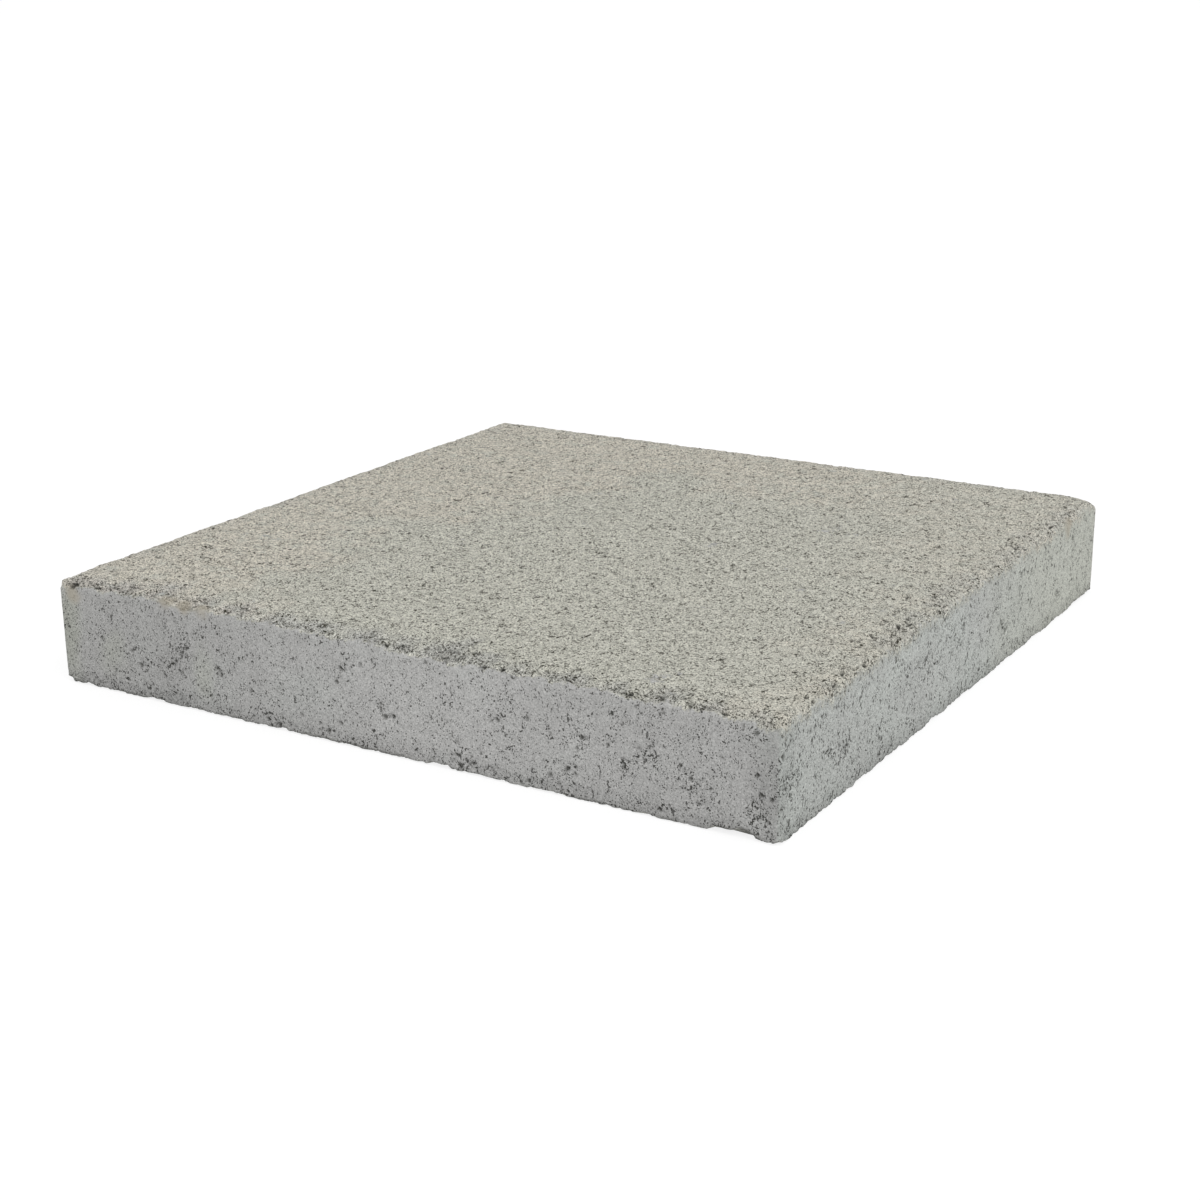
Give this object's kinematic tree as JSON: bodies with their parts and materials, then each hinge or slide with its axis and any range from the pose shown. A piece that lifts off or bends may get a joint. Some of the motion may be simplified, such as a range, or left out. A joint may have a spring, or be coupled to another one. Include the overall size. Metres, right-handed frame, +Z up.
{
  "type": "concrete stepping stone",
  "caption": "Square pressed-concrete stepping stone: a thick flat slab with a sandy, rounded top edge, smooth flat sides and nearly square upright corners.",
  "frame": {"origin": "middle of the bedding face, on the ground", "axes": "+Z up, out of the tread; X and Y square to the sides"},
  "size_m": [0.298, 0.298, 0.041],
  "materials": {
    "concrete": "matte"
  },
  "bodies": {
    "root": {"slab": "concrete"}
  },
  "joints": []
}
